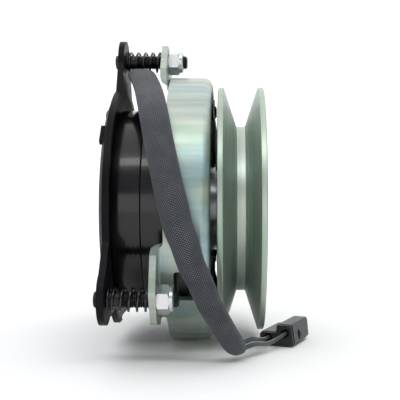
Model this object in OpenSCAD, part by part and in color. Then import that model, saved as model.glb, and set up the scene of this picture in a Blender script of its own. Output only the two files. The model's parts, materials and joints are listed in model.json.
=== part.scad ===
/* [Hub] */
// Diameter of the crankshaft bore
bore_d = 28.575; // [25.4:0.025:29]
// Width of the keyway
key_w = 6.35; // [4.8:0.05:8]
// Depth of the keyway beyond the wall of the bore
key_depth = 3.2; // [2:0.1:3.5]

/* [Pulley] */
// Outside diameter of the pulley
pulley_d = 139.7; // [136:0.1:144]
// Width across the two faces of the pulley
pulley_w = 25.4; // [25:0.1:27]
// Depth of the belt groove
groove_depth = 22.25; // [20:0.05:23]
// Included angle of the belt groove
groove_angle = 36; // [34:1:38]
// Width of the flat at the root of the groove
groove_root_w = 4.9; // [4:0.1:5.5]

/* [Field] */
// Outside diameter of the field housing
housing_d = 113.4; // [112.6:0.1:113.8]
// Thickness of the field plate
plate_t = 3.4; // [2.5:0.1:3.8]
// Radius of the field plate between its ears
plate_r = 69; // [68:0.5:74]

/* [Brake cup] */
// Outside diameter of the brake cup
cup_d = 150.4; // [149.8:0.1:151]
// Thickness of the cup's sheet
sheet_t = 3.3; // [2.8:0.1:3.4]
// Radius of the opening in the front of the cup
cup_mouth_r = 65; // [64.8:0.1:65.1]
// Width of each window in the cup's wall
window_w = 17.6; // [10:0.1:24]

/* [Adjusters] */
// Radius of the circle that the three bolts stand on
bolt_circle_r = 85; // [84.5:0.1:87]
// Diameter of each bolt
bolt_d = 7.94; // [7.8:0.01:8.2]
// Width across the flats of each nut
nut_flats = 12.7; // [12.5:0.1:13.5]
// Thickness of the spring wire
spring_wire = 1.3; // [1:0.1:1.4]
// Outside diameter of each spring
spring_d = 12.2; // [12:0.1:12.6]
// Turns of each spring, with most of a closed turn at each end
spring_turns = 5.75; // [5:0.25:8]

/* [Lead] */
// Width of the flat woven sleeve
sleeve_w = 14.6; // [12:0.1:14.8]
// Thickness of the flat woven sleeve
sleeve_t = 7; // [5:0.1:7]
// Diameter of each wire
wire_d = 2.2; // [1.8:0.1:2.3]

/* [Hidden] */
$fn = 96;

// The x axis is the shaft. x = 0 is the middle of the belt groove, and the engine is at -x.
// Gap left between round pieces that are fitted together
fit_gap = 0.02;
// A cut runs this far past the faces that it opens
past = 1;

// Stations along the shaft
hub_back_x = -69;
hub_front_x = 12.4;
plate_back_x = -69.4;
plate_front_x = plate_back_x + plate_t;
dish_rise = 2.4;
dish_back_x = plate_back_x - dish_rise;
housing_back_x = dish_back_x + plate_t;
seam_x = -52.1;
pole_x = -34;
bearing_back_x = -66.5;
bearing_front_x = -51.5;
rotor_back_x = -33.2;
rotor_face_x = -27.75;
air_gap = 0.5;
armature_back_x = rotor_face_x + air_gap;
armature_front_x = -21.25;
brake_gap = 0.05;
lining_back_x = armature_front_x + brake_gap;
cup_front_x = -15.9;
cup_inner_x = cup_front_x - sheet_t;
cup_rim_x = -38.8;
ear_back_x = -44.8;
ear_front_x = ear_back_x + sheet_t;
face_x = pulley_w / 2;

// Radii about the shaft
bore_r = bore_d / 2;
hub_r = 20;
housing_r = housing_d / 2;
housing_wall = 3.5;
field_seat_r = 34;
pulley_r = pulley_d / 2;
pulley_seat_r = 31;
cup_r = cup_d / 2;
cup_inner_r = cup_r - sheet_t;
armature_r = 70.9;
rotor_r = 69;
leaf_r = 56;

// Adjusters
ear_angles = [0, 120, -120];
bolt_head_r = 8.3;
bolt_head_h = 3.4;
bolt_end_x = -30.9;
bolt_hole_r = bolt_d / 2 + 0.4;
nut_body_h = 6.2;
nut_h = 8.3;
nut_bore_r = bolt_d / 2 + 0.05;
insert_r = nut_flats / 2 - 1.1;
ear_tip_r = 13.5;
ear_half_w = 21.5;
ear_reach = 93.3;
bend_r = 5;
window_back_x = -34.2;
window_front_x = -20.5;
window_corner_r = 1.8;

// Lead. The route runs from the grommet, over the top, down the front and along the ground
ground_z = -75.2;
grommet_angle = -50;
sleeve_route = [
    [-55.5, 50, 42], [-55.5, 43.5, 49.7], [-55.5, 35.5, 58], [-55.6, 26, 65.5],
    [-56, 13.5, 71.8], [-56.6, 0, 74.6], [-56.6, -12, 76.1], [-53.5, -24.5, 72.2],
    [-49.6, -38.5, 64.4], [-46.5, -53, 56.6], [-43.6, -64.8, 46.9], [-40.7, -72.5, 34.5],
    [-38, -77.5, 23.5], [-35.5, -81, 13], [-33, -83, 3.5], [-31, -83.5, -5.5],
    [-27.5, -83, -15], [-24.5, -82, -24.5], [-20, -81, -34], [-16, -79, -44],
    [-10.8, -74.5, -54], [-6, -68.5, -63], [-3.6, -64, -67.3], [-2, -60.5, -69.8]
];
// Width and thickness at places along the route, counted in its points
sleeve_widths = [[0, 12], [3, sleeve_w], [15, sleeve_w], [19, 12], [23, 10.5]];
sleeve_depths = [[0, sleeve_t], [15, sleeve_t], [20, 8], [23, 8]];
wire_routes = [
    [
        [-4.4, -64.6, -65.4], [-1.9, -60.5, -67.2], [1.5, -57, -66.6], [5.2, -53.5, -66],
        [8.3, -48, -67.1], [10.9, -41, -68.7], [12.5, -35, -69.8], [13.8, -29.3, -70.5],
        [15, -25.5, -70.6], [17, -20.8, -70.6]
    ],
    [
        [-4.4, -65.6, -67.8], [-1.3, -61.1, -69.7], [2, -57.4, -69.6], [5.3, -54.5, -68.9],
        [8, -51.3, -69.2], [10.8, -47.8, -69.8], [13.4, -44, -70.3], [15.6, -40.3, -70.5],
        [18.3, -36.6, -70], [21.2, -33.4, -69], [23.4, -30.6, -68.1], [25, -27.5, -67.8],
        [26.8, -23.3, -67.8]
    ]
];
sleeve_sides = 12;
wire_sides = 8;

// Connector: it lies on the ground, with its rear face at this place, turned by this angle
connector_at = [20.4, -25.6, ground_z];
connector_turn = 67;
connector_l = 28;
connector_w = 20;
connector_h = 12;
cavities = [[5, 4.6], [-5, 7.4]];
cavity_r = 2;

black = [0.06, 0.06, 0.065];
zinc = [0.72, 0.76, 0.72];
steel = [0.62, 0.63, 0.65];

// --- Shapes that repeat ---

// A solid turned about the shaft, from an outline of [x, radius] points
module turned(outline) {
    rotate([0, 90, 0])
        rotate_extrude()
            polygon([for (p = outline) [p[1], p[0]]]);
}

// A plain ring about the shaft
module ring(x0, x1, inner, outer) {
    turned([[x0, inner], [x1, inner], [x1, outer], [x0, outer]]);
}

// A part of a ring about the shaft, which starts at an angle and sweeps on
module ring_sector(x0, x1, inner, outer, start, sweep) {
    rotate([start, 0, 0])
        rotate([0, 90, 0])
            rotate_extrude(angle = sweep)
                polygon([[inner, x0], [inner, x1], [outer, x1], [outer, x0]]);
}

// A round rod along x, on the shaft's axis
module rod(x0, x1, r) {
    translate([x0, 0, 0])
        rotate([0, 90, 0])
            cylinder(h = x1 - x0, r = r);
}

// Puts a child that is drawn at the top of the clutch at an angle about the shaft
module around(angle, r) {
    rotate([angle, 0, 0])
        translate([0, 0, r])
            children();
}

// A plate square to the shaft: its children are flat shapes with x across and y up
module plate(x0, x1) {
    translate([x0, 0, 0])
        rotate([90, 0, 90])
            linear_extrude(height = x1 - x0)
                children();
}

// Points of an arc, as [x, radius], for an outline
function arc(centre, r, from, to, steps) = [
    for (i = [0 : steps])
        let (a = from + (to - from) * i / steps)
            [centre[0] + r * cos(a), centre[1] + r * sin(a)]
];

// A circle of balls between two races
module balls(x, r, ball_r, count) {
    for (i = [0 : count - 1])
        rotate([i * 360 / count, 0, 0])
            translate([x, 0, r])
                sphere(r = ball_r, $fn = 32);
}

// A race with a track for each row of balls
module race(x0, x1, inner, outer, track_xs, track_r, track_tube) {
    difference() {
        ring(x0, x1, inner, outer);
        for (x = track_xs)
            translate([x, 0, 0])
                rotate([0, 90, 0])
                    rotate_extrude()
                        translate([track_r, 0])
                            circle(r = track_tube, $fn = 48);
    }
}

// A spring clip that is open over an angle
module snap_ring(x0, x1, inner, outer, gap) {
    ring_sector(x0, x1, inner, outer, gap / 2, 360 - gap);
}

// --- Sweeping a tube along a route ---

function unit(v) = v / norm(v);
function along(route, i) =
    unit(route[min(i + 1, len(route) - 1)] - route[max(i - 1, 0)]);
// Away from the shaft, square to the route
function away(p, t) = let (r = [0, p[1], p[2]]) unit(r - (r * t) * t);
function tube_ring(route, i, half_w, half_t, sides) =
    let (t = along(route, i), n = away(route[i], t), w = cross(t, n))
        [for (k = [0 : sides - 1])
            let (a = 360 * k / sides)
                route[i] + half_w * cos(a) * w + half_t * sin(a) * n];
function flat(lists) = [for (l = lists) for (v = l) v];

module tube(rings) {
    sides = len(rings[0]);
    last = (len(rings) - 1) * sides;
    walls = flat([
        for (i = [0 : len(rings) - 2])
            [for (k = [0 : sides - 1])
                let (a = i * sides + k, b = i * sides + (k + 1) % sides)
                    [a, b, b + sides, a + sides]]
    ]);
    back = [[for (k = [0 : sides - 1]) sides - 1 - k]];
    front = [[for (k = [0 : sides - 1]) last + k]];
    polyhedron(points = flat(rings), faces = concat(walls, back, front));
}

// --- Field assembly, which stays still ---

// One ear of the field plate, as a flat shape
module plate_ear(angle, tip_at, tip_r, root_half_w) {
    rotate(angle) {
        translate([0, tip_at])
            circle(r = tip_r);
        polygon([
            [-root_half_w, plate_r - 14], [-tip_r + 0.6, tip_at],
            [tip_r - 0.6, tip_at], [root_half_w, plate_r - 14]
        ]);
    }
}

module field_plate() {
    dish_r = 63;
    slope = 4;
    slot_w = 9.5;
    slot_angle = -60;
    slot_tip_at = 74;
    dimple_at = 59;
    tang_angle = 50;
    tang_w = 11;
    tang_reach = 1.8;
    foot_z = -61.5;
    color(black)
        difference() {
            union() {
                plate(plate_back_x, plate_front_x)
                    difference() {
                        union() {
                            circle(r = plate_r);
                            for (a = ear_angles)
                                plate_ear(a, 97 - ear_tip_r, ear_tip_r, 26);
                            plate_ear(slot_angle, slot_tip_at, 11, 16);
                        }
                        circle(r = dish_r + slope - 1);
                        rotate(slot_angle)
                            translate([-slot_w / 2, plate_r + 1])
                                square([slot_w, 30]);
                    }
                turned([
                    [dish_back_x, 36], [dish_back_x, dish_r], [plate_back_x, dish_r + slope],
                    [plate_front_x, dish_r + slope], [plate_front_x, dish_r + slope - 1.6],
                    [housing_back_x, dish_r - 1.6], [housing_back_x, 36]
                ]);
                for (a = [30 : 120 : 270])
                    intersection() {
                        around(a, dimple_at)
                            translate([dish_back_x + 2.6, 0, 0])
                                sphere(r = 4.4, $fn = 48);
                        ring(dish_back_x - 4, dish_back_x + 0.5, dimple_at - 10, dish_r + 1);
                    }
                around(tang_angle, dish_r - 3.2)
                    translate([dish_back_x - tang_reach, -tang_w / 2, 0])
                        cube([tang_reach + 0.5, tang_w, 3]);
            }
            for (a = ear_angles)
                around(a, bolt_circle_r)
                    rod(plate_back_x - past, plate_front_x + past, bolt_hole_r);
            translate([-80, -40, foot_z - 20])
                cube([20, 80, 20]);
        }
}

module field_housing() {
    stop_r = 31.8;
    pole_inner_r = 35;
    pole_outer_r = 39;
    floor_t = 3.8;
    groove_r = field_seat_r + 1.2;
    stop_x = bearing_front_x + 2;
    color(black)
        turned(concat(
            [
                [housing_back_x, field_seat_r], [-68, field_seat_r], [-68, groove_r],
                [-66.55, groove_r], [-66.55, field_seat_r],
                [bearing_front_x, field_seat_r], [bearing_front_x, stop_r],
                [stop_x, stop_r], [stop_x, pole_inner_r],
                [pole_x, pole_inner_r], [pole_x, pole_outer_r],
                [housing_back_x + floor_t, pole_outer_r],
                [housing_back_x + floor_t, housing_r - housing_wall],
                [seam_x, housing_r - housing_wall],
                [seam_x, housing_r - 0.6], [seam_x - 0.6, housing_r]
            ],
            arc([housing_back_x + 2, housing_r - 2], 2, 90, 180, 6)
        ));
}

module field_shell() {
    color(black)
        turned([
            [seam_x, housing_r - housing_wall], [pole_x, housing_r - housing_wall],
            [pole_x, housing_r - 0.5], [pole_x - 0.5, housing_r],
            [seam_x + 0.6, housing_r], [seam_x, housing_r - 0.6]
        ]);
}

module coil_bobbin() {
    color([0.85, 0.82, 0.7])
        turned([
            [-64.4, 39.2], [-38.2, 39.2], [-38.2, 52.6], [-39.4, 52.6],
            [-39.4, 40.6], [-63.2, 40.6], [-63.2, 52.6], [-64.4, 52.6]
        ]);
}

module field_coil() {
    color([0.7, 0.38, 0.2])
        ring(-63.1, -39.5, 40.7, 51.8);
}

module coil_potting() {
    color([0.12, 0.1, 0.09])
        ring(-38.1, -35, 39.1, 53.1);
}

module field_rivets() {
    rivet_at = 46;
    color(black)
        for (a = [45 : 90 : 315])
            around(a, rivet_at)
                turned([
                    [dish_back_x - 1, 0], [dish_back_x - 1, 2.6], [dish_back_x, 3.6],
                    [dish_back_x, 0]
                ]);
}

module lead_grommet() {
    color([0.09, 0.09, 0.1])
        difference() {
            rotate([grommet_angle, 0, 0])
                translate([-49.3, 0, 0])
                    rotate([90, 0, -90])
                        linear_extrude(height = 12.9)
                            polygon([
                                [0, 50], [0, 69.3], [-6, 69.3], [-24, 58.5], [-24, 50]
                            ]);
            rod(-70, -40, housing_r);
        }
}

module field_bearing_outer() {
    color(steel)
        race(bearing_back_x, bearing_front_x - fit_gap, 29.8, field_seat_r - fit_gap,
            [-59], 27, 4.36);
}

module field_bearing_seals() {
    color([0.16, 0.1, 0.08])
        for (x = [bearing_back_x + 0.6, bearing_front_x - 1.6])
            ring(x, x + 1, 24.6, 29.75);
}

module field_snap_ring() {
    color(steel)
        snap_ring(-67.95, -66.6, 31.5, 35, 30);
}

module adjusting_bolt(i) {
    dome_r = (bolt_head_r * bolt_head_r + bolt_head_h * bolt_head_h) / (2 * bolt_head_h);
    dome_angle = asin(bolt_head_r / dome_r);
    thread_chamfer = 0.8;
    color(black)
        around(ear_angles[i - 1], bolt_circle_r)
            turned(concat(
                arc([plate_back_x - bolt_head_h + dome_r, 0], dome_r, 180, 180 - dome_angle, 8),
                [
                    [plate_back_x, bolt_d / 2], [bolt_end_x - thread_chamfer, bolt_d / 2],
                    [bolt_end_x, bolt_d / 2 - thread_chamfer], [bolt_end_x, 0]
                ]
            ));
}

// Place along a spring, from 0 to 1, when its turns so far are known
function spring_x(turn) =
    let (
        closed = 0.75,
        pitch = spring_wire + 0.1,
        span = ear_back_x - plate_front_x - spring_wire - 0.1,
        open_turns = spring_turns - 2 * closed,
        open_pitch = (span - 2 * closed * pitch) / open_turns
    )
    turn < closed ? turn * pitch
    : turn > spring_turns - closed ? span - (spring_turns - turn) * pitch
    : closed * pitch + (turn - closed) * open_pitch;

module adjusting_spring(i) {
    steps = 16;
    sides = 8;
    coil_r = (spring_d - spring_wire) / 2;
    start_x = plate_front_x + spring_wire / 2 + 0.05;
    rings = [
        for (s = [0 : steps * spring_turns])
            let (a = 360 * s / steps, out = [0, -sin(a), cos(a)])
                [for (k = [0 : sides - 1])
                    let (b = 360 * k / sides)
                        [start_x + spring_x(s / steps), 0, 0]
                        + out * (coil_r + spring_wire / 2 * cos(b))
                        + [spring_wire / 2 * sin(b), 0, 0]]
    ];
    color(black)
        around(ear_angles[i - 1], bolt_circle_r)
            tube(rings);
}

// --- Rotor assembly, which turns with the crankshaft ---

module hub() {
    flange_r = 23.4;
    color(steel)
        difference() {
            turned([
                [hub_back_x, bore_r], [hub_front_x, bore_r], [hub_front_x, hub_r - 0.6],
                [hub_front_x - 0.5, hub_r - fit_gap], [12, hub_r - fit_gap],
                [12, hub_r - 0.8], [10.35, hub_r - 0.8], [10.35, hub_r - fit_gap],
                [-66.6, hub_r - fit_gap], [-66.6, flange_r], [hub_back_x, flange_r]
            ]);
            translate([hub_back_x - past, -key_w / 2, 0])
                cube([hub_front_x - hub_back_x + 2 * past, key_w, bore_r + key_depth]);
        }
}

module field_bearing_inner() {
    color(steel)
        race(bearing_back_x, bearing_front_x - fit_gap, hub_r, 24.2, [-59], 27, 4.36);
}

module field_bearing_balls() {
    color([0.85, 0.86, 0.88])
        balls(-59, 27, 4.3, 14);
}

module inner_spacer() {
    color(steel)
        ring(bearing_front_x, -47, hub_r, 24);
}

module rotor() {
    slot_sweep = 62;
    color(steel)
        difference() {
            turned([
                [-47 + fit_gap, hub_r], [rotor_face_x, hub_r], [rotor_face_x, 58.4],
                [rotor_face_x - 2.6, 58.4], [rotor_face_x - 2.6, 63.6],
                [rotor_face_x, 63.6], [rotor_face_x, rotor_r], [-32.6, rotor_r],
                [rotor_back_x, rotor_r - 0.6], [rotor_back_x, 64.5], [-36.5, 64.5],
                [-36.5, 57.8], [rotor_back_x, 57.8], [rotor_back_x, 34.2],
                [-47 + fit_gap, 34.2]
            ]);
            for (a = [0 : 90 : 270]) {
                ring_sector(rotor_back_x - past, rotor_face_x + past, 42, 45, a, slot_sweep);
                ring_sector(rotor_back_x - past, rotor_face_x + past, 51, 54, a + 45, slot_sweep);
            }
        }
}

module rotor_lining() {
    color([0.25, 0.22, 0.2])
        ring(rotor_face_x - 2.55, rotor_face_x - 0.1, 58.45, 63.55);
}

module outer_spacer() {
    color(steel)
        ring(rotor_face_x + fit_gap, -10.32, hub_r, 24);
}

module pulley_bearing_inner() {
    color(steel)
        race(-10.3, 10.3, hub_r, 23, [-4.6, 4.6], 25.5, 3.16);
}

module pulley_bearing_balls() {
    color([0.85, 0.86, 0.88])
        for (x = [-4.6, 4.6])
            balls(x, 25.5, 3.1, 16);
}

module hub_snap_ring() {
    color(steel)
        snap_ring(10.4, 11.95, 19.3, 22.6, 40);
}

// --- Pulley assembly, which drives the belt ---

module pulley() {
    root_r = pulley_r - groove_depth;
    top_half_w = groove_root_w / 2 + groove_depth * tan(groove_angle / 2);
    edge = 0.8;
    color(zinc)
        difference() {
            turned([
                [-face_x, 28.6], [-face_x, pulley_r - edge], [-face_x + edge, pulley_r],
                [-top_half_w - 0.3, pulley_r], [-top_half_w + 0.1, pulley_r - 0.5],
                [-groove_root_w / 2, root_r], [groove_root_w / 2, root_r],
                [top_half_w - 0.1, pulley_r - 0.5], [top_half_w + 0.3, pulley_r],
                [face_x - edge, pulley_r], [face_x, pulley_r - edge],
                [face_x, 44.5], [face_x - 3, 43.5], [face_x - 3, 36.5], [face_x, 35.5],
                [face_x, pulley_seat_r], [12, pulley_seat_r], [12, 32.2],
                [10.35, 32.2], [10.35, pulley_seat_r], [-10.35, pulley_seat_r],
                [-10.35, 28.6]
            ]);
            for (a = [60 : 120 : 300])
                around(a, leaf_r)
                    rod(-face_x - past, -face_x + 4.2, 2.6);
        }
}

module pulley_bearing_outer() {
    color(steel)
        race(-10.3, 10.3, 28, pulley_seat_r - fit_gap, [-4.6, 4.6], 25.5, 3.16);
}

module pulley_bearing_seals() {
    color([0.16, 0.1, 0.08])
        for (x = [-9.9, 9.1])
            ring(x, x + 0.8, 23.4, 27.95);
}

module pulley_snap_ring() {
    color(steel)
        snap_ring(10.4, 11.95, 28.8, 32, 34);
}

// Where the leaf springs lie along the shaft: on the armature's rivets and on the pulley
leaf_t = 0.8;
leaf_back_x = -15.8;
leaf_front_x = -face_x - leaf_t - 0.05;

module pulley_rivets() {
    color(black)
        for (a = [60 : 120 : 300])
            around(a, leaf_r)
                turned([
                    [leaf_front_x - 1.2, 0], [leaf_front_x - 1.2, 2.6],
                    [leaf_front_x - 0.03, 4.2], [leaf_front_x - 0.03, 2.55],
                    [-face_x + 4, 2.55], [-face_x + 4, 0]
                ]);
}

// A flat strap that runs across the gap from an armature rivet to a pulley rivet
module leaf_spring(i) {
    half_span = leaf_r * sin(30);
    centre_r = leaf_r * cos(30);
    end_l = 8;
    half_w = 7;
    color(black)
        rotate([i * 120 - 90, 0, 0])
            difference() {
                translate([0, 0, centre_r - half_w])
                    linear_extrude(height = 2 * half_w)
                        polygon([
                            [leaf_back_x, half_span + end_l],
                            [leaf_back_x, half_span - end_l],
                            [leaf_front_x, -half_span + end_l],
                            [leaf_front_x, -half_span - end_l],
                            [leaf_front_x + leaf_t, -half_span - end_l],
                            [leaf_front_x + leaf_t, -half_span + end_l],
                            [leaf_back_x + leaf_t, half_span - end_l],
                            [leaf_back_x + leaf_t, half_span + end_l]
                        ]);
                for (a = [-30, 30])
                    around(a, leaf_r)
                        rod(-18, -12, 2.6);
            }
}

// --- Armature, which the leaf springs hold against the brake ---

module armature() {
    color([0.2, 0.2, 0.21])
        difference() {
            turned([
                [armature_back_x, 40], [armature_front_x, 40],
                [armature_front_x, armature_r - 0.5], [armature_front_x - 0.5, armature_r],
                [armature_back_x + 0.5, armature_r], [armature_back_x, armature_r - 0.5]
            ]);
            for (a = [0 : 120 : 240])
                ring_sector(armature_back_x - past, armature_front_x + past,
                    46.5, 49.5, a + 22, 76);
            for (a = [0 : 120 : 240])
                around(a, leaf_r)
                    rod(armature_back_x - past, armature_front_x + past, 2.6);
        }
}

module armature_rivets() {
    color(black)
        for (a = [0 : 120 : 240])
            around(a, leaf_r)
                turned([
                    [armature_back_x + 0.3, 0], [armature_back_x + 0.3, 2.55],
                    [armature_front_x + 0.02, 2.55], [armature_front_x + 0.02, 5],
                    [leaf_back_x - 0.03, 5], [leaf_back_x - 0.03, 2.55],
                    [leaf_back_x + leaf_t + 0.03, 2.55],
                    [leaf_back_x + leaf_t + 0.03, 4.2],
                    [leaf_back_x + leaf_t + 1.2, 2.6], [leaf_back_x + leaf_t + 1.2, 0]
                ]);
}

// --- Brake cup and its adjusters ---

// The space that one ear fills, from the rim of the cup to its blunt tip
module ear_space(angle) {
    fillet_r = cup_rim_x - ear_front_x;
    shoulder_r = 78.5;
    root_half_w = 26.5;
    tip_half_w = 7;
    corner_r = 4;
    rotate([angle, 0, 0])
        intersection() {
            plate(ear_back_x - 2 * past, cup_rim_x + past)
                polygon(concat(
                    [[30, 55], [30, 75.5], [ear_half_w, shoulder_r]],
                    arc([tip_half_w, ear_reach - corner_r], corner_r, 25, 90, 5),
                    arc([-tip_half_w, ear_reach - corner_r], corner_r, 90, 155, 5),
                    [[-ear_half_w, shoulder_r], [-30, 75.5], [-30, 55]]
                ));
            translate([0, 0, 50])
                linear_extrude(height = 60)
                    polygon(concat(
                        [[cup_rim_x + past, root_half_w], [cup_rim_x, root_half_w]],
                        arc([ear_front_x, ear_half_w + fillet_r], fillet_r, 0, -90, 6),
                        [
                            [ear_back_x - 2 * past, ear_half_w],
                            [ear_back_x - 2 * past, -ear_half_w]
                        ],
                        arc([ear_front_x, -ear_half_w - fillet_r], fillet_r, 90, 0, 6),
                        [[cup_rim_x, -root_half_w], [cup_rim_x + past, -root_half_w]]
                    ));
        }
}

// A hole with rounded corners, cut outwards through the wall of the cup
module window_cut(angle) {
    x0 = window_back_x + window_corner_r;
    x1 = window_front_x - window_corner_r;
    y1 = window_w / 2 - window_corner_r;
    rotate([angle, 0, 0])
        translate([0, 0, 60])
            linear_extrude(height = 30)
                polygon(concat(
                    arc([x1, y1], window_corner_r, 0, 90, 5),
                    arc([x0, y1], window_corner_r, 90, 180, 5),
                    arc([x0, -y1], window_corner_r, 180, 270, 5),
                    arc([x1, -y1], window_corner_r, 270, 360, 5)
                ));
}

// The sheet's section is turned all round, and then cut away between the ears
module brake_cup() {
    corner_r = 5;
    front = [cup_front_x - corner_r, cup_r - corner_r];
    back = [ear_back_x + bend_r, cup_inner_r + bend_r];
    blank_r = 110;
    color(zinc)
        difference() {
            turned(concat(
                arc(front, corner_r, 90, 0, 8),
                [
                    [cup_front_x, cup_mouth_r + 0.4], [cup_front_x - 0.4, cup_mouth_r],
                    [cup_inner_x, cup_mouth_r]
                ],
                arc(front, corner_r - sheet_t, 0, 90, 6),
                arc(back, bend_r, 270, 180, 8),
                [[ear_back_x, blank_r], [ear_front_x, blank_r]],
                arc(back, bend_r - sheet_t, 180, 270, 6)
            ));
            difference() {
                rod(ear_back_x - past, cup_rim_x, blank_r + past);
                for (a = ear_angles)
                    ear_space(a);
            }
            for (a = ear_angles) {
                window_cut(a);
                around(a, bolt_circle_r)
                    rod(ear_back_x - past, ear_front_x + past, bolt_hole_r);
            }
        }
}

module brake_linings() {
    color([0.3, 0.27, 0.24])
        for (a = [30 : 120 : 270])
            ring_sector(lining_back_x, cup_inner_x, cup_mouth_r + 0.3, 69.8, a, 60);
}

module adjusting_nut(i) {
    point_r = nut_flats / 2 / cos(30);
    collar_r = nut_flats / 2 - 0.2;
    color([0.8, 0.81, 0.82])
        around(ear_angles[i - 1], bolt_circle_r)
            difference() {
                union() {
                    intersection() {
                        translate([ear_front_x, 0, 0])
                            rotate([0, 90, 0])
                                cylinder(h = nut_body_h, r = point_r, $fn = 6);
                        turned([
                            [ear_front_x, 0], [ear_front_x, point_r - 0.7],
                            [ear_front_x + 0.5, point_r + 0.1],
                            [ear_front_x + nut_body_h - 0.9, point_r + 0.1],
                            [ear_front_x + nut_body_h, point_r - 0.9],
                            [ear_front_x + nut_body_h, 0]
                        ]);
                    }
                    turned([
                        [ear_front_x + nut_body_h - 0.5, 0],
                        [ear_front_x + nut_body_h - 0.5, collar_r],
                        [ear_front_x + nut_h - 0.7, collar_r],
                        [ear_front_x + nut_h, collar_r - 0.9],
                        [ear_front_x + nut_h, 0]
                    ]);
                }
                rod(ear_front_x - past, ear_front_x + nut_h + past, nut_bore_r);
                rod(ear_front_x + nut_body_h, ear_front_x + nut_h - 0.5, insert_r);
            }
}

module nut_insert(i) {
    color([0.85, 0.87, 0.9])
        around(ear_angles[i - 1], bolt_circle_r)
            ring(ear_front_x + nut_body_h + 0.05, ear_front_x + nut_h - 0.55,
                nut_bore_r, insert_r - 0.05);
}

// --- Lead ---

module lead_sleeve() {
    rings = [
        for (i = [0 : len(sleeve_route) - 1])
            tube_ring(sleeve_route, i, lookup(i, sleeve_widths) / 2,
                lookup(i, sleeve_depths) / 2, sleeve_sides)
    ];
    color([0.16, 0.17, 0.19])
        tube(rings);
}

module lead_wire(i) {
    route = wire_routes[i - 1];
    color([0.3, 0.34, 0.33])
        tube([
            for (k = [0 : len(route) - 1])
                tube_ring(route, k, wire_d / 2, wire_d / 2, wire_sides)
        ]);
}

// Puts the connector's parts where it lies. Along x it runs away from its wires
module connector_place() {
    translate(connector_at)
        rotate([0, 0, connector_turn])
            children();
}

// A length of the connector's section, which has a low half and a high half
module connector_block(x0, x1, inset) {
    half_w = connector_w / 2;
    low_h = 7.6;
    plate(x0, x1)
        offset(delta = -inset)
            polygon([
                [-half_w, 1.5], [1.5 - half_w, 0], [4.5, 0], [half_w, 3.2],
                [half_w, low_h - 1], [half_w - 1, low_h], [0.6, low_h],
                [0.2, connector_h - 0.6], [-0.4, connector_h],
                [2.6 - half_w, connector_h], [1.4 - half_w, connector_h - 1.2]
            ]);
}

module connector_housing() {
    nose = 2.5;
    rise = 2.7;
    slot_x = 9;
    slot_z = 5.3;
    color([0.13, 0.14, 0.15])
        connector_place()
            difference() {
                connector_block(0, connector_l, 0);
                translate([0, connector_w, 0])
                    rotate([90, 0, 0])
                        linear_extrude(height = 2 * connector_w)
                            polygon([
                                [4, 0], [connector_l + past, rise],
                                [connector_l + past, -past], [4, -past]
                            ]);
                for (side = [-1, 1])
                    linear_extrude(height = connector_h + past)
                        polygon([
                            [connector_l - nose, side * (connector_w / 2 + 0.01)],
                            [connector_l, side * (connector_w / 2 - nose)],
                            [connector_l + past, side * connector_w]
                        ]);
                for (c = cavities) {
                    translate([-past, c[0], c[1]])
                        rotate([0, 90, 0])
                            cylinder(h = 22 + past, r = cavity_r, $fn = 48);
                    translate([20, c[0] - 1.6, c[1] - 0.8])
                        cube([10, 3.2, 1.6]);
                }
                translate([slot_x, -connector_w / 2 - past, slot_z])
                    rotate([-90, 0, 0])
                        cylinder(h = 1.6 + past, r = 2.6, $fn = 48);
            }
}

module connector_lock() {
    color([0.1, 0.1, 0.11])
        connector_place()
            difference() {
                connector_block(-2.45, -0.05, 0.3);
                for (c = cavities)
                    translate([-3, c[0], c[1]])
                        rotate([0, 90, 0])
                            cylinder(h = 5, r = cavity_r + 0.3, $fn = 48);
            }
}

module connector_terminals() {
    color([0.75, 0.72, 0.6])
        connector_place()
            for (c = cavities) {
                translate([7, c[0], c[1]])
                    rotate([0, 90, 0])
                        cylinder(h = 12, r = 1.7, $fn = 32);
                translate([18.5, c[0] - 1.4, c[1] - 0.4])
                    cube([8, 2.8, 0.8]);
            }
}

field_plate();
field_housing();
field_shell();
coil_bobbin();
field_coil();
coil_potting();
field_rivets();
lead_grommet();
field_bearing_outer();
field_bearing_seals();
field_snap_ring();
adjusting_bolt(1);  // adjusting_bolt_1
adjusting_bolt(2);  // adjusting_bolt_2
adjusting_bolt(3);  // adjusting_bolt_3
adjusting_spring(1);  // adjusting_spring_1
adjusting_spring(2);  // adjusting_spring_2
adjusting_spring(3);  // adjusting_spring_3
hub();
field_bearing_inner();
field_bearing_balls();
inner_spacer();
rotor();
rotor_lining();
outer_spacer();
pulley_bearing_inner();
pulley_bearing_balls();
hub_snap_ring();
pulley();
pulley_bearing_outer();
pulley_bearing_seals();
pulley_snap_ring();
pulley_rivets();
leaf_spring(1);  // leaf_spring_1
leaf_spring(2);  // leaf_spring_2
leaf_spring(3);  // leaf_spring_3
armature();
armature_rivets();
brake_cup();
brake_linings();
adjusting_nut(1);  // adjusting_nut_1
adjusting_nut(2);  // adjusting_nut_2
adjusting_nut(3);  // adjusting_nut_3
nut_insert(1);  // nut_insert_1
nut_insert(2);  // nut_insert_2
nut_insert(3);  // nut_insert_3
lead_sleeve();
lead_wire(1);  // lead_wire_1
lead_wire(2);  // lead_wire_2
connector_housing();
connector_lock();
connector_terminals();
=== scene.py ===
"""Looks of the electromagnetic clutch: a zinc-plated brake cup and pulley, a black painted
field, sprung adjusting bolts, and a woven lead with a two-way connector."""

import json
import math

import bmesh
import bpy
import numpy as np
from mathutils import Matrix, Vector, noise


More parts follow.
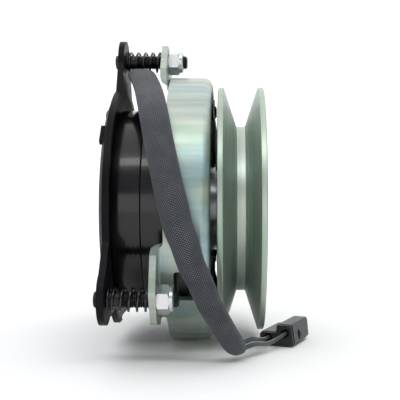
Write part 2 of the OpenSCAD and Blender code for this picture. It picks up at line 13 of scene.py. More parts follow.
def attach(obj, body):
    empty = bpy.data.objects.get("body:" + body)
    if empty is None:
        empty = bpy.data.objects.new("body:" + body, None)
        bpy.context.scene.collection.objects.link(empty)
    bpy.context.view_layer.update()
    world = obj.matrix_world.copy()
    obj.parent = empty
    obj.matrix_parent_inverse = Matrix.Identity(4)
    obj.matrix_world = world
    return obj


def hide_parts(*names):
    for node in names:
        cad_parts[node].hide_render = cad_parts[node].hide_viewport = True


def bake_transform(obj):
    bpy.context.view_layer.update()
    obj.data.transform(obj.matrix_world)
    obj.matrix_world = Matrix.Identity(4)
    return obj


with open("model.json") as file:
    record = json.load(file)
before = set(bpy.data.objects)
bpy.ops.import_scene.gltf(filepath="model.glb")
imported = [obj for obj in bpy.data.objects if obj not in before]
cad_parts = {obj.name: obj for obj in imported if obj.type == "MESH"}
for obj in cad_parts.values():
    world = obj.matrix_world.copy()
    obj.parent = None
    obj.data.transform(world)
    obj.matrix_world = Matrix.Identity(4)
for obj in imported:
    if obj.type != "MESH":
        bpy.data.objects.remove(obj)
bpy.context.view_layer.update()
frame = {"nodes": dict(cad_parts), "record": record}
nodes = frame["nodes"]

MM = 0.001
FIELD, PULLEY = "field_assembly", "pulley_assembly"
EAR_ANGLES = (0, 120, -120)
BOLT_CIRCLE_R = 85
GROUND_Z = -75.2


# ---------------------------------------------------------------- camera

def add_camera():
    """Looks along +Y at the side of the clutch, from slightly above."""
    distance, elevation = 428 * MM, math.radians(1.5)
    target = Vector((-6.1 * MM, 0, 0))
    data = bpy.data.cameras.new("camera")
    data.lens = 65.7
    data.sensor_width = 36
    data.shift_x = -0.075
    data.shift_y = 0.021
    data.clip_start, data.clip_end = 0.02, 20
    camera = bpy.data.objects.new("camera", data)
    back = Vector((0, -math.cos(elevation), math.sin(elevation)))
    camera.location = target + back * distance
    camera.rotation_euler = (-back).to_track_quat("-Z", "Y").to_euler()
    bpy.context.scene.collection.objects.link(camera)
    bpy.context.scene.camera = camera


add_camera()


# ---------------------------------------------------------------- mesh tools

def new_object(name, verts, faces, sharp_angle=35):
    """A smooth-shaded mesh object from points in metres, sharp only over an angle."""
    mesh = bpy.data.meshes.new(name)
    mesh.from_pydata([tuple(v) for v in verts], [], faces)
    mesh.validate()
    bm = bmesh.new()
    bm.from_mesh(mesh)
    bmesh.ops.recalc_face_normals(bm, faces=bm.faces)
    bm.to_mesh(mesh)
    bm.free()
    mesh.polygons.foreach_set("use_smooth", [True] * len(mesh.polygons))
    mesh.set_sharp_from_angle(angle=math.radians(sharp_angle))
    obj = bpy.data.objects.new(name, mesh)
    bpy.context.scene.collection.objects.link(obj)
    return obj


def grid_faces(rows, columns, wrap_rows=False, wrap_columns=True):
    """Quads of a grid whose vertices run column by column within each row."""
    faces = []
    for i in range(rows if wrap_rows else rows - 1):
        for j in range(columns if wrap_columns else columns - 1):
            a, b = i * columns + j, i * columns + (j + 1) % columns
            c, d = (i + 1) % rows * columns + (j + 1) % columns, (i + 1) % rows * columns + j
            faces.append((a, b, c, d))
    return faces


def around(x, r, angle):
    """The point at a distance r from the shaft, at an angle in degrees from the top
    towards the camera, in metres."""
    a = math.radians(angle)
    return Vector((x, -r * math.sin(a), r * math.cos(a))) * MM


def rounded(outline):
    """An outline of (x, r) or (x, r, fillet radius) corners with the fillets put in."""
    points = []
    count, steps = len(outline), 4
    for i, corner in enumerate(outline):
        here = Vector(corner[:2])
        fillet = corner[2] if len(corner) > 2 else 0
        if not fillet:
            points.append(here)
            continue
        before = Vector(outline[i - 1][:2]) - here
        after = Vector(outline[(i + 1) % count][:2]) - here
        half = before.angle(after) / 2
        reach = min(fillet / math.tan(half), before.length * 0.49, after.length * 0.49)
        start, end = here + before.normalized() * reach, here + after.normalized() * reach
        for k in range(steps + 1):
            t = k / steps
            points.append(start.lerp(here, t).lerp(here.lerp(end, t), t))
    return points


def lathe(name, outline):
    """A closed ring turned about the shaft from an outline of corners in millimetres."""
    points, segments = rounded(outline), 256
    verts = [around(p[0], p[1], 360 * j / segments) for p in points for j in range(segments)]
    return new_object(name, verts, grid_faces(len(points), segments, wrap_rows=True))


def tube(name, points, radius, sides):
    """A round bar with flat ends along points in metres."""
    rings = []
    side = Vector((0, 0, 1))
    for i, p in enumerate(points):
        ahead = (points[min(i + 1, len(points) - 1)] - points[max(i - 1, 0)]).normalized()
        side = side - side.dot(ahead) * ahead
        if side.length < 1e-4:
            side = ahead.orthogonal()
        side.normalize()
        up = ahead.cross(side)
        for k in range(sides):
            a = 2 * math.pi * k / sides
            rings.append(p + radius * (math.cos(a) * side + math.sin(a) * up))
    faces = grid_faces(len(points), sides)
    faces.append(tuple(reversed(range(sides))))
    faces.append(tuple(range(len(rings) - sides, len(rings))))
    return new_object(name, rings, faces, 50)


def smooth_route(route, spacing):
    """Points about a spacing apart, in metres, on a smooth curve through a route in mm."""
    knots = [Vector(p) * MM for p in route]
    knots = [2 * knots[0] - knots[1], *knots, 2 * knots[-1] - knots[-2]]
    fine = []
    for a, b, c, d in zip(knots, knots[1:], knots[2:], knots[3:]):
        for k in range(24):
            t = k / 24
            fine.append(
                0.5 * (2 * b + (c - a) * t + (2 * a - 5 * b + 4 * c - d) * t * t
                       + (3 * b - a - 3 * c + d) * t * t * t)
            )
    fine.append(knots[-2].copy())
    lengths = np.cumsum([0] + [(q - p).length for p, q in zip(fine, fine[1:])])
    wanted = np.linspace(0, lengths[-1], max(2, round(lengths[-1] / spacing) + 1))
    out = np.array([[np.interp(s, lengths, [p[k] for p in fine]) for k in range(3)] for s in wanted])
    return [Vector(p) for p in out], lengths[-1]


def soften(obj, width, segments):
    """Rounds the edges of a CAD node, on top of its own mesh."""
    weld = obj.modifiers.new("weld", "WELD")
    weld.merge_threshold = 2e-6
    flat = obj.modifiers.new("flat", "DECIMATE")
    flat.decimate_type = "DISSOLVE"
    flat.angle_limit = math.radians(0.6)
    bevel = obj.modifiers.new("bevel", "BEVEL")
    bevel.width = width * MM
    bevel.segments = segments
    bevel.limit_method = "ANGLE"
    bevel.angle_limit = math.radians(40)
    bevel.use_clamp_overlap = True
    shade = obj.modifiers.new("shade", "WEIGHTED_NORMAL")
    shade.keep_sharp = True
    obj.data.polygons.foreach_set("use_smooth", [True] * len(obj.data.polygons))


# ---------------------------------------------------------------- lead: routes and pieces

SLEEVE_ROUTE = [
    (-55.5, 50, 42), (-55.5, 43.5, 49.7), (-55.5, 35.5, 58), (-55.6, 26, 65.5),
    (-56, 13.5, 71.8), (-56.6, 0, 74.6), (-56.6, -12, 76.1), (-53.5, -24.5, 72.2),
    (-49.6, -38.5, 64.4), (-46.5, -53, 56.6), (-43.6, -64.8, 46.9), (-40.7, -72.5, 34.5),
    (-38, -77.5, 23.5), (-35.5, -81, 13), (-33, -83, 3.5), (-31, -83.5, -5.5),
    (-27.5, -83, -15), (-24.5, -82, -24.5), (-20, -81, -34), (-16, -79, -44),
    (-10.8, -74.5, -54), (-6, -68.5, -63), (-3.6, -64, -67.3), (-2, -60.5, -69.8),
]
WIRE_ROUTES = [
    [
        (-4.4, -64.6, -65.4), (-1.9, -60.5, -67.2), (1.5, -57, -66.6), (5.2, -53.5, -66),
        (8.3, -48, -67.1), (10.9, -41, -68.7), (12.5, -35, -69.8), (13.8, -29.3, -70.5),
        (15, -25.5, -70.6), (17, -20.8, -70.6),
    ],
    [
        (-4.4, -65.6, -67.8), (-1.3, -61.1, -69.7), (2, -57.4, -69.6), (5.3, -54.5, -68.9),
        (8, -51.3, -69.2), (10.8, -47.8, -69.8), (13.4, -44, -70.3), (15.6, -40.3, -70.5),
        (18.3, -36.6, -70), (21.2, -33.4, -69), (23.4, -30.6, -68.1), (25, -27.5, -67.8),
        (26.8, -23.3, -67.8),
    ],
]
SLEEVE_W = 14.6
# Width and thickness in mm at places along the route, counted in its points
SLEEVE_WIDTHS = ((0, 12), (3, SLEEVE_W), (15, SLEEVE_W), (19, 12), (23, 10.5))
SLEEVE_DEPTHS = ((0, 6.6), (15, 6.6), (20, 7.8), (23, 7.8))
WIRE_D = 2.2


def sleeve_section(along, length):
    """Half the width and half the thickness of the sleeve, in mm, so far along it."""
    knots = np.array(SLEEVE_ROUTE)
    gone = np.cumsum([0, *np.linalg.norm(np.diff(knots, axis=0), axis=1)])
    place = np.interp(along / length * gone[-1], gone, range(len(knots)))
    half_w, half_t = (np.interp(place, *zip(*rows)) / 2 for rows in (SLEEVE_WIDTHS, SLEEVE_DEPTHS))
    slack = noise.noise(Vector((along * 34, 1.7, 0.3)))
    left = (length - along) / (7 * MM)
    closing = 1 - 0.2 * max(0, 1 - left) ** 2
    return half_w * closing * (1 + 0.02 * slack), half_t * closing * (1 - 0.05 * slack)


def add_sleeve():
    """The flat woven sleeve: an open tube with a real wall at its free end."""
    path, length = smooth_route(SLEEVE_ROUTE, 0.9 * MM)
    sides, wall = 72, 0.7 * MM
    verts, uvs = [], []
    inner_rings = 14
    rows = [(i, 0.0) for i in range(len(path))]
    rows += [(len(path) - 1 - k, wall) for k in range(inner_rings)]
    for i, inset in rows:
        ahead = (path[min(i + 1, len(path) - 1)] - path[max(i - 1, 0)]).normalized()
        out = Vector((0, path[i].y, path[i].z))
        out = (out - out.dot(ahead) * ahead).normalized()
        wide = ahead.cross(out)
        s = i / (len(path) - 1)
        half_w, half_t = sleeve_section(s * length, length)
        for k in range(sides):
            a = 2 * math.pi * k / sides
            c, d = math.cos(a), math.sin(a)
            x = math.copysign(abs(c) ** 0.86, c) * (half_w * MM - inset)
            y = math.copysign(abs(d) ** 0.8, d) * (half_t * MM - inset)
            crease = noise.noise(Vector((s * length * 55, c * 1.3, d * 2.1))) * 0.22 * MM
            verts.append(path[i] + wide * x + out * (y + (crease if inset == 0 else 0)))
            uvs.append((k / sides, s * length))
    sleeve = new_object("sleeve", verts, grid_faces(len(rows), sides), 60)
    layer = sleeve.data.uv_layers.new(name="weave")
    girth = 2 * (SLEEVE_W + 5) * MM
    for poly in sleeve.data.polygons:
        seam = any(uvs[v][0] > 0.9 for v in poly.vertices)
        for loop in poly.loop_indices:
            u, v = uvs[sleeve.data.loops[loop].vertex_index]
            layer.data[loop].uv = ((u + 1 if seam and u < 0.1 else u) * girth, v)
    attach(sleeve, FIELD)
    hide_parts("lead_sleeve")
    return sleeve, path, length


def add_wire(i):
    """One of the two insulated wires from the sleeve's end to the connector."""
    path, length = smooth_route(WIRE_ROUTES[i], 0.5 * MM)
    wire = tube(f"wire_{i + 1}", path, WIRE_D / 2 * MM, 20)
    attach(wire, FIELD)
    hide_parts(f"lead_wire_{i + 1}")
    return wire, path, length


sleeve, sleeve_path, sleeve_length = add_sleeve()
wires = [add_wire(i) for i in range(2)]


# ---------------------------------------------------------------- materials

class Shader:
    """Builds the nodes of one material."""

    def __init__(self, name):
        self.material = bpy.data.materials.new(name)
        self.material.use_nodes = True
        self.tree = self.material.node_tree
        self.bsdf = self.tree.nodes["Principled BSDF"]
        self.place = self.node("ShaderNodeTexCoord").outputs["Object"]

    def node(self, kind, inputs=None, **settings):
        made = self.tree.nodes.new(kind)
        for key, value in settings.items():
            setattr(made, key, value)
        for key, value in (inputs or {}).items():
            self.put(made.inputs[key], value)
        return made

    def put(self, socket, value):
        if isinstance(value, bpy.types.NodeSocket):
            self.tree.links.new(value, socket)
        else:
            socket.default_value = value

    def set(self, **values):
        """Sets sockets of the surface shader: roughness=0.3 is the Roughness socket."""
        for key, value in values.items():
            self.put(self.bsdf.inputs[key.replace("_", " ")], value)
        return self

    def math(self, operation, a, b=0.0):
        return self.node("ShaderNodeMath", {0: a, 1: b}, operation=operation).outputs[0]

    def scaled(self, vector, scale):
        return self.node("ShaderNodeMapping", {"Vector": vector, "Scale": scale}).outputs[0]

    def noise(self, vector, scale, detail=2.0, roughness=0.5, distortion=0.0):
        return self.node(
            "ShaderNodeTexNoise",
            {"Vector": vector, "Scale": scale, "Detail": detail, "Roughness": roughness,
             "Distortion": distortion},
        ).outputs["Fac"]

    def ramp(self, value, stops):
        made = self.node("ShaderNodeValToRGB", {"Fac": value})
        elements = made.color_ramp.elements
        while len(elements) < len(stops):
            elements.new(0.5)
        for element, (at, color) in zip(elements, stops):
            element.position = at
            element.color = (*color, 1)
        return made.outputs["Color"]

    def span(self, value, low, high, from_low=0.0, from_high=1.0):
        return self.node(
            "ShaderNodeMapRange",
            {"Value": value, "From Min": from_low, "From Max": from_high, "To Min": low,
             "To Max": high},
        ).outputs[0]

    def mix(self, share, a, b, blend="MIX"):
        made = self.node("ShaderNodeMix", data_type="RGBA", blend_type=blend)
        self.put(made.inputs["Factor"], share)
        found = [s for s in made.inputs if s.type == "RGBA"]
        self.put(found[0], a)
        self.put(found[1], b)
        return [s for s in made.outputs if s.type == "RGBA"][0]

    def bump(self, height, distance, strength=1.0, normal=None):
        inputs = {"Height": height, "Distance": distance, "Strength": strength}
        if normal is not None:
            inputs["Normal"] = normal
        return self.node("ShaderNodeBump", inputs).outputs["Normal"]

    def turned_place(self):
        """Coordinates that don't change around the shaft: place along it, and radius."""
        parts = self.node("ShaderNodeSeparateXYZ", {0: self.place})
        squares = self.math(
            "ADD", self.math("POWER", parts.outputs[1], 2.0),
            self.math("POWER", parts.outputs[2], 2.0),
        )
        radius = self.math("SQRT", squares)
        return self.node(
            "ShaderNodeCombineXYZ", {0: parts.outputs[0], 1: radius, 2: 0.0}
        ).outputs[0]


def zinc_plate(name, drawn):
    """Clear zinc plate on sheet that was drawn along the shaft, or on turned steel."""
    s = Shader(name)
    base = s.scaled(s.place, (0.6, 1.0, 1.0))
    tint = s.noise(base, 28.0, 3.0, 0.55, 0.6)
    if not drawn:
        rings = s.noise(s.turned_place(), 150.0, 3.0, 0.55, 0.3)
        tint = s.math("ADD", s.math("MULTIPLY", rings, 0.75), s.math("MULTIPLY", tint, 0.25))
    color = s.ramp(tint, [
        (0.30, (0.30, 0.42, 0.44)), (0.42, (0.35, 0.44, 0.36)), (0.52, (0.46, 0.50, 0.44)),
        (0.62, (0.38, 0.48, 0.48)), (0.74, (0.52, 0.53, 0.36)),
    ])
    if drawn:
        lines = s.noise(s.scaled(s.place, (30, 900, 900)), 1.0, 3.0, 0.7)
        coarse = s.noise(s.scaled(s.place, (12, 220, 220)), 1.0, 2.0, 0.5)
        fine_depth = 0.00002
    else:
        turned = s.turned_place()
        lines = s.noise(s.scaled(turned, (2600, 2600, 1)), 1.0, 2.0, 0.6)
        coarse = s.noise(s.scaled(turned, (380, 380, 1)), 1.0, 2.0, 0.5)
        fine_depth = 0.000015
    streak = s.span(coarse, 0.86, 1.08, 0.3, 0.7)
    shade = s.node("ShaderNodeCombineColor", {0: streak, 1: streak, 2: streak}).outputs[0]
    color = s.mix(1.0, color, shade, "MULTIPLY")
    speckle = s.noise(s.place, 1400.0, 2.0, 0.6)
    normal = s.bump(lines, fine_depth, 0.5, s.bump(coarse, 0.00003, 0.35))
    s.set(Base_Color=color, Metallic=1.0, Normal=normal)
    s.set(Roughness=s.math("ADD", s.span(lines, 0.34, 0.50), s.span(speckle, -0.03, 0.05)))
    return s.material


def black_paint(name="black_paint", low=0.16, high=0.30, shine=0.3, coat=0.3):
    """Thick enamel with a little orange peel and dust in it."""
    s = Shader(name)
    peel = s.noise(s.place, 420.0, 2.0, 0.5)
    dust = s.noise(s.place, 60.0, 4.0, 0.65)
    s.set(Base_Color=s.ramp(dust, [(0.35, (0.004, 0.004, 0.005)), (0.7, (0.008, 0.008, 0.010))]))
    s.set(Roughness=s.span(dust, low, high, 0.3, 0.75), Specular_IOR_Level=shine)
    s.set(Coat_Weight=coat, Coat_Roughness=0.07, Normal=s.bump(peel, 0.00002, 0.35))
    return s.material


def black_oxide(name="black_oxide", light=1.0, coat=0.0):
    """Blackened steel: dark, half-bright, with worn flecks."""
    s = Shader(name)
    wear = s.noise(s.place, 260.0, 4.0, 0.7)
    grain = s.noise(s.place, 1500.0, 2.0, 0.6)
    dark, worn = 0.018 * light, 0.07 * light
    s.set(Base_Color=s.ramp(wear, [(0.45, (dark, dark, dark * 1.1)), (0.78, (worn, worn, worn))]))
    s.set(Metallic=0.75, Roughness=s.span(wear, 0.42, 0.26, 0.3, 0.75), Coat_Weight=coat)
    s.set(Normal=s.bump(grain, 0.00001, 0.5))
    return s.material


def turned_steel(name, tone, low=0.2, high=0.38, metallic=1.0):
    """Bare steel with fine turning marks round the shaft."""
    s = Shader(name)
    turned = s.turned_place()
    marks = s.noise(s.scaled(turned, (3000, 3000, 1)), 1.0, 2.0, 0.6)
    stain = s.noise(s.place, 70.0, 4.0, 0.6)
    dark = tuple(c * 0.78 for c in tone)
    s.set(Base_Color=s.ramp(stain, [(0.35, dark), (0.65, tone)]), Metallic=metallic)
    s.set(Roughness=s.span(marks, low, high, 0.3, 0.7), Normal=s.bump(marks, 0.000012, 0.5))
    return s.material


def bright_zinc():
    """Bright zinc on the hexagon nuts."""
    s = Shader("nut_zinc")
    grain = s.noise(s.place, 1300.0, 2.0, 0.5)
    tint = s.noise(s.place, 160.0, 2.0, 0.5)
    s.set(Base_Color=s.ramp(tint, [(0.35, (0.56, 0.60, 0.63)), (0.65, (0.70, 0.69, 0.66))]))
    s.set(Metallic=1.0, Roughness=s.span(grain, 0.26, 0.36, 0.3, 0.7))
    s.set(Normal=s.bump(grain, 0.000004, 0.3))
    return s.material


def plastic(name, tone, low=0.35, high=0.55):
    """Moulded plastic with a fine spark-eroded grain."""
    s = Shader(name)
    grain = s.noise(s.place, 900.0, 3.0, 0.6)
    cloud = s.noise(s.place, 90.0, 3.0, 0.5)
    dark = tuple(c * 0.75 for c in tone)
    s.set(Base_Color=s.ramp(cloud, [(0.35, dark), (0.65, tone)]))
    s.set(Roughness=s.span(grain, low, high, 0.3, 0.7), Normal=s.bump(grain, 0.00002, 0.5))
    return s.material


def friction_lining():
    """Pressed friction material: dull, with pits and bright metal specks."""
    s = Shader("friction_lining")
    speck = s.noise(s.place, 1100.0, 2.0, 0.6)
    cloud = s.noise(s.place, 200.0, 4.0, 0.7)
    base = s.ramp(cloud, [(0.35, (0.045, 0.038, 0.032)), (0.7, (0.10, 0.085, 0.07))])
    s.set(Base_Color=s.mix(s.span(speck, 0, 1, 0.66, 0.72), base, (0.4, 0.33, 0.2, 1)))
    s.set(Roughness=0.85, Normal=s.bump(speck, 0.00005, 0.6))
    return s.material


def copper_winding():
    """Enamelled wire, wound in even turns along the shaft."""
    s = Shader("copper_winding")
    parts = s.node("ShaderNodeSeparateXYZ", {0: s.turned_place()})
    turns = s.math("ABSOLUTE", s.math("SINE", s.math("MULTIPLY", parts.outputs[0], 3900.0)))
    # The colour darkens into the grooves between the turns: painted shade.
    s.set(Base_Color=s.ramp(turns, [(0.1, (0.12, 0.03, 0.01)), (0.6, (0.62, 0.22, 0.07))]))
    s.set(Metallic=0.9, Roughness=0.3, Normal=s.bump(turns, 0.0002, 0.8))
    return s.material


def woven_sleeve():
    """Braided sleeving: two sets of flat strands that cross, over one and under one."""
    s = Shader("woven_sleeve")
    uv = s.node("ShaderNodeUVMap", uv_map="weave").outputs[0]
    parts = s.node("ShaderNodeSeparateXYZ", {0: uv})
    strands_per_metre = 1 / 0.00125
    u = s.math("MULTIPLY", parts.outputs[0], strands_per_metre)
    v = s.math("MULTIPLY", parts.outputs[1], strands_per_metre)
    a, b = s.math("ADD", u, v), s.math("SUBTRACT", u, v)
    rise = []
    for across, along, phase in ((a, b, 0.0), (b, a, math.pi)):
        lane = s.math("FLOOR", across)
        body = s.math("SINE", s.math("MULTIPLY", s.math("FRACT", across), math.pi))
        turn = s.math("ADD", s.math("MULTIPLY", s.math("ADD", lane, along), math.pi), phase)
        over = s.math("ADD", s.math("MULTIPLY", s.math("SINE", turn), 0.5), 0.5)
        rise.append(s.math("MULTIPLY", s.math("POWER", body, 0.6), over))
    height = s.math("MAXIMUM", rise[0], rise[1])
    cloud = s.noise(s.place, 130.0, 3.0, 0.6)
    fuzz = s.noise(s.place, 2600.0, 2.0, 0.6)
    # Near black in the hollows between the strands and lighter on their crests: painted shade and
    # painted highlight.
    dark = s.ramp(cloud, [(0.3, (0.006, 0.007, 0.009)), (0.7, (0.010, 0.011, 0.013))])
    light = s.ramp(cloud, [(0.3, (0.10, 0.115, 0.14)), (0.7, (0.20, 0.23, 0.27))])
    s.set(Base_Color=s.mix(s.span(height, 0, 1, 0.72, 1.0), dark, light))
    s.set(Roughness=s.span(fuzz, 0.5, 0.75, 0.3, 0.7), Sheen_Weight=0.12, Sheen_Roughness=0.4)
    s.set(Normal=s.bump(height, 0.00028, 0.9, s.bump(fuzz, 0.00003, 0.3)))
    return s.material


MATERIALS = {
    "zinc_drawn": zinc_plate("zinc_drawn", drawn=True),
    "zinc_turned": zinc_plate("zinc_turned", drawn=False),
    "black_paint": black_paint(),
    "plate_paint": black_paint("plate_paint", 0.34, 0.48, 0.08, 0.0),
    "black_oxide": black_oxide(),
    "spring_black": black_oxide("spring_black", 0.9, 0.6),
    "leaf_black": black_oxide("leaf_black", 0.35),
    "nut_zinc": bright_zinc(),
    "nylon": plastic("nylon", (0.62, 0.68, 0.76), 0.25, 0.4),
    "machined_steel": turned_steel("machined_steel", (0.55, 0.56, 0.58)),
    "bearing_steel": turned_steel("bearing_steel", (0.66, 0.67, 0.69), 0.08, 0.2),
    "bearing_seal": plastic("bearing_seal", (0.09, 0.025, 0.015), 0.45, 0.6),
    "friction_lining": friction_lining(),
    # Near-black tone for the rotor and armature: partly their own dark finish, partly painted shade
    # for the dark gap between the brake cup and the pulley.
    "friction_steel": turned_steel("friction_steel", (0.06, 0.06, 0.065), 0.3, 0.5, 0.8),
    "copper_winding": copper_winding(),
    "bobbin_plastic": plastic("bobbin_plastic", (0.66, 0.6, 0.42)),
    "potting": plastic("potting", (0.03, 0.022, 0.02), 0.12, 0.25),
    "moulded_black": plastic("moulded_black", (0.007, 0.007, 0.008), 0.4, 0.6),
    "woven_sleeve": woven_sleeve(),
    "wire_insulation": plastic("wire_insulation", (0.055, 0.075, 0.07), 0.28, 0.42),
    "connector_plastic": plastic("connector_plastic", (0.017, 0.019, 0.022), 0.34, 0.5),
    "terminal_tin": turned_steel("terminal_tin", (0.62, 0.6, 0.5), 0.25, 0.4),
}


def paint(obj, name):
    """Gives an object one of the materials, and no other."""
    obj.data.materials.clear()
    obj.data.materials.append(MATERIALS[name])
    return obj


FINISHES = {
    "brake_cup": "zinc_drawn", "pulley": "zinc_turned", "field_plate": "plate_paint",
    "connector_lock": "moulded_black",
}
for row in frame["record"]["subparts"]:
    node = row["node"]
    paint(nodes[node], FINISHES.get(node, row["material_slot"]))
paint(sleeve, "woven_sleeve")
for wire, _, _ in wires:
    paint(wire, "wire_insulation")


# ---------------------------------------------------------------- turned pieces

def add_turned(name, node, outline, body, finish):
    """A turned piece that stands for a CAD node, with the fillets of its outline."""
    piece = lathe(name, outline)
    paint(piece, finish)
    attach(piece, body)
    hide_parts(node)


add_turned("pulley_sheave", "pulley", [
    (-12.7, 28.6, 0.4), (-12.7, 69.85, 0.7), (-9.68, 69.85, 0.45), (-2.45, 47.6, 0.8),
    (2.45, 47.6, 0.8), (9.68, 69.85, 0.45), (12.7, 69.85, 0.7), (12.7, 44.5, 0.5),
    (9.7, 43.5, 0.9), (9.7, 36.5, 0.9), (12.7, 35.5, 0.5), (12.7, 31, 0.3), (12, 31),
    (12, 32.2), (10.35, 32.2), (10.35, 31), (-10.35, 31), (-10.35, 28.6),
], PULLEY, "zinc_turned")
add_turned("housing_shell_back", "field_housing", [
    (-68.4, 34), (-68, 34), (-68, 35.2), (-66.55, 35.2), (-66.55, 34), (-51.5, 34),
    (-51.5, 31.8), (-49.5, 31.8), (-49.5, 35), (-34, 35, 0.3), (-34, 39, 0.3), (-64.6, 39),
    (-64.6, 53.2), (-52.1, 53.2), (-52.1, 56.7, 0.5), (-68.4, 56.7, 2.6),
], FIELD, "black_paint")
add_turned("housing_shell_front", "field_shell", [
    (-52.1, 53.2), (-34, 53.2, 0.3), (-34, 56.7, 0.7), (-52.1, 56.7, 0.5),
], FIELD, "black_paint")


# ---------------------------------------------------------------- CAD nodes with rounded edges

ROUNDED_NODES = {
    "brake_cup": 0.45, "field_plate": 0.5, "field_rivets": 0.2, "lead_grommet": 0.8,
    "hub": 0.4, "inner_spacer": 0.2, "outer_spacer": 0.2, "hub_snap_ring": 0.15,
    "pulley_snap_ring": 0.15, "field_snap_ring": 0.15, "pulley_rivets": 0.15,
    "armature": 0.3, "armature_rivets": 0.15, "rotor": 0.3, "rotor_lining": 0.15,
    "brake_linings": 0.2, "field_bearing_outer": 0.2, "field_bearing_inner": 0.2,
    "pulley_bearing_outer": 0.2, "pulley_bearing_inner": 0.2, "field_bearing_seals": 0.15,
    "pulley_bearing_seals": 0.15, "coil_bobbin": 0.2, "field_coil": 0.3, "coil_potting": 0.3,
    "connector_housing": 0.45, "connector_lock": 0.5, "connector_terminals": 0.15,
    **{f"adjusting_nut_{i}": 0.28 for i in (1, 2, 3)},
    **{f"nut_insert_{i}": 0.15 for i in (1, 2, 3)},
}
for node, width in ROUNDED_NODES.items():
    soften(nodes[node], width, 3 if width > 0.25 else 2)


# ---------------------------------------------------------------- bolts

BOLT_HEAD_R, BOLT_HEAD_H, BOLT_R, BOLT_END_X = 8.3, 3.4, 3.97, -30.9
PLATE_BACK_X = -69.4
THREAD_PITCH, THREAD_DEPTH, THREAD_START_X = 1.058, 0.6, -60.0
THREAD_STEPS = 10


def bolt_profile():
    """Stations (x, radius) of a bolt in mm: a domed head with a rolled edge, and a shank."""
    dome_r = (BOLT_HEAD_R ** 2 + BOLT_HEAD_H ** 2) / (2 * BOLT_HEAD_H)
    top = math.asin(BOLT_HEAD_R / dome_r)
    stations = [
        (PLATE_BACK_X - BOLT_HEAD_H + dome_r * (1 - math.cos(top * k / 12)),
         dome_r * math.sin(top * k / 12)) for k in range(1, 12)
    ]
    stations += [
        (PLATE_BACK_X - 0.45, BOLT_HEAD_R - 0.05), (PLATE_BACK_X - 0.15, BOLT_HEAD_R - 0.05),
        (PLATE_BACK_X - 0.01, BOLT_HEAD_R - 0.25), (PLATE_BACK_X - 0.01, BOLT_R + 0.3),
        (PLATE_BACK_X + 0.3, BOLT_R), (THREAD_START_X, BOLT_R),
    ]
    step = THREAD_PITCH / THREAD_STEPS
    count = round((BOLT_END_X - THREAD_START_X) / step)
    stations += [(THREAD_START_X + step * k, BOLT_R) for k in range(1, count)]
    return [*stations, (BOLT_END_X, BOLT_R - 0.6)]


def add_bolt(i):
    """A bolt whose thread is a real helix. It fades in at its start, and its end is chamfered."""
    columns, fade_length, chamfer = 40, 1.5, 0.9
    centre = around(0, BOLT_CIRCLE_R, EAR_ANGLES[i])
    verts = []
    profile = bolt_profile()
    for x, r in profile:
        into = min(1, max(0, (x - THREAD_START_X) / fade_length))
        end_r = BOLT_R - 0.8 * max(0, 1 - (BOLT_END_X - x) / chamfer)
        for j in range(columns):
            turn = (x / THREAD_PITCH - j / columns) % 1
            groove = min(1, max(0, 1.25 - abs(turn - 0.5) * 3.6)) * THREAD_DEPTH * into
            here = min(r, end_r) - (groove if x > THREAD_START_X else 0)
            verts.append(centre + around(x, max(0.1, here), 360 * j / columns))
    faces = grid_faces(len(profile), columns)
    faces.append(tuple(range(columns)))
    faces.append(tuple(range(len(verts) - columns, len(verts))))
    bolt = new_object(f"bolt_{i + 1}", verts, faces, 40)
    paint(bolt, "black_oxide")
    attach(bolt, FIELD)
    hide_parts(f"adjusting_bolt_{i + 1}")


for i in range(3):
    add_bolt(i)


# ---------------------------------------------------------------- leaf springs

LEAF_BACK_X, LEAF_FRONT_X, LEAF_T = -15.8, -13.55, 0.8
LEAF_R, LEAF_HALF_W, LEAF_END = 56, 7, 8


def add_leaf(i):
    """A flat spring with rounded ends and a gentle bend."""
    half_span, centre_r = LEAF_R * math.sin(math.radians(30)), LEAF_R * math.cos(math.radians(30))
    flat = half_span - LEAF_END
    rows, across = 61, 9
    verts = []
    turn = math.radians(i * 120 - 90)
    for side in (0, LEAF_T):
        for k in range(rows):
            y = (half_span + LEAF_END) * (1 - 2 * k / (rows - 1))
            past = max(0, abs(y) - half_span - LEAF_END + LEAF_HALF_W) / LEAF_HALF_W
            half_w = LEAF_HALF_W * math.sqrt(max(0.02, 1 - past ** 2))
            t = min(1, max(0, (flat - y) / (2 * flat)))
            x = LEAF_BACK_X + (LEAF_FRONT_X - LEAF_BACK_X) * t * t * (3 - 2 * t) + side
            for j in range(across):
                z = centre_r + half_w * (2 * j / (across - 1) - 1)
                verts.append(Vector((
                    x, y * math.cos(turn) - z * math.sin(turn),
                    y * math.sin(turn) + z * math.cos(turn),
                )) * MM)
    faces = grid_faces(rows, across, wrap_columns=False)
    half = rows * across
    faces += [tuple(v + half for v in reversed(f)) for f in faces]
    edge = [k * across for k in range(rows)]
    edge += [half - across + j for j in range(1, across)]
    edge += [k * across + across - 1 for k in range(rows - 2, -1, -1)]
    edge += list(range(across - 2, 0, -1))
    faces += [
        (a, b, b + half, a + half) for a, b in zip(edge, edge[1:] + edge[:1])
    ]
    leaf = new_object(f"leaf_{i}", verts, faces, 30)
    paint(leaf, "leaf_black")
    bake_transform(leaf)
    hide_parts(f"leaf_spring_{i}")


for i in (1, 2, 3):
    add_leaf(i)


# ---------------------------------------------------------------- springs

SPRING_WIRE, SPRING_D, SPRING_TURNS = 1.3, 12.2, 5.75
SPRING_BACK_X, SPRING_FRONT_X = -66.0, -44.8
SPRING_GAP = 0.1


def spring_place(turn):
    """How far along the spring its wire is, in mm, after some turns."""
    closed, pitch = 0.75, SPRING_WIRE + SPRING_GAP
    span = SPRING_FRONT_X - SPRING_BACK_X - SPRING_WIRE - SPRING_GAP
    open_pitch = (span - 2 * closed * pitch) / (SPRING_TURNS - 2 * closed)
    if turn < closed:
        return turn * pitch
    if turn > SPRING_TURNS - closed:
        return span - (SPRING_TURNS - turn) * pitch
    return closed * pitch + (turn - closed) * open_pitch


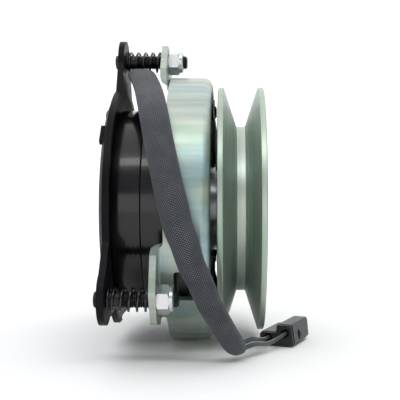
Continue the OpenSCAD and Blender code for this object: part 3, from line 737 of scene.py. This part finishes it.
def add_spring(i):
    """A coil spring round an adjusting bolt, with closed end turns."""
    centre = around(0, BOLT_CIRCLE_R, EAR_ANGLES[i])
    out = centre.normalized()
    side = Vector((1, 0, 0)).cross(out)
    coil_r = (SPRING_D - SPRING_WIRE) / 2 * MM
    points = []
    steps = 40
    for k in range(round(steps * SPRING_TURNS) + 1):
        turn = k / steps
        x = (SPRING_BACK_X + SPRING_WIRE / 2 + SPRING_GAP / 2 + spring_place(turn)) * MM
        a = 2 * math.pi * turn
        points.append(Vector((x, 0, 0)) + centre + coil_r * (math.cos(a) * out - math.sin(a) * side))
    spring = tube(f"spring_{i + 1}", points, SPRING_WIRE / 2 * MM, 14)
    paint(spring, "spring_black")
    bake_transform(spring)
    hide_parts(f"adjusting_spring_{i + 1}")


for i in range(3):
    add_spring(i)


# ---------------------------------------------------------------- setting and lights

def add_stage():
    """A pale sweep: a floor that curves up into a back wall."""
    half, back, rise_r, top = 5, 0.9, 0.5, 3
    profile = [(-5, GROUND_Z * MM - 0.0002), (back, GROUND_Z * MM - 0.0002)]
    for k in range(1, 13):
        a = math.pi / 2 * k / 12
        profile.append((back + rise_r * math.sin(a), GROUND_Z * MM + rise_r * (1 - math.cos(a))))
    profile.append((back + rise_r, top))
    verts = [(x, y, z) for y, z in profile for x in (-half, half)]
    floor = new_object("floor", verts, grid_faces(len(profile), 2, wrap_columns=False), 60)
    s = Shader("floor")
    s.set(Base_Color=(0.93, 0.93, 0.93, 1), Roughness=0.75)
    floor.data.materials.append(s.material)


def add_area_light(name, place, size, power, look_at=(0, 0, 0)):
    """A soft box of a size in metres and a power in watts, turned to a point."""
    data = bpy.data.lights.new(name, "AREA")
    data.shape = "RECTANGLE"
    data.size, data.size_y = size
    data.energy = power
    light = bpy.data.objects.new(name, data)
    light.location = place
    aim = Vector(look_at) - Vector(place)
    light.rotation_euler = aim.to_track_quat("-Z", "Y").to_euler()
    bpy.context.scene.collection.objects.link(light)


def add_lights():
    """A dim room, a key light over the camera, and large lights above, behind and in front."""
    world = bpy.data.worlds.new("world")
    bpy.context.scene.world = world
    world.use_nodes = True
    background = world.node_tree.nodes["Background"]
    background.inputs["Color"].default_value = (0.95, 0.97, 1, 1)
    background.inputs["Strength"].default_value = 0.42
    add_area_light("key", (0, -0.72, 0.99), (1.5, 0.2), 5)
    add_area_light("overhead", (0, 0.15, 1.2), (3.2, 2.2), 19, look_at=(0, 0.15, 0))
    add_area_light("wall", (0, 0.5, 1.15), (2.4, 0.5), 9, look_at=(0, 1.4, 0.9))
    add_area_light("fill", (0, -1.7, 0.12), (1.6, 0.8), 5)


add_stage()
add_lights()
bpy.context.scene.view_settings.view_transform = "Standard"
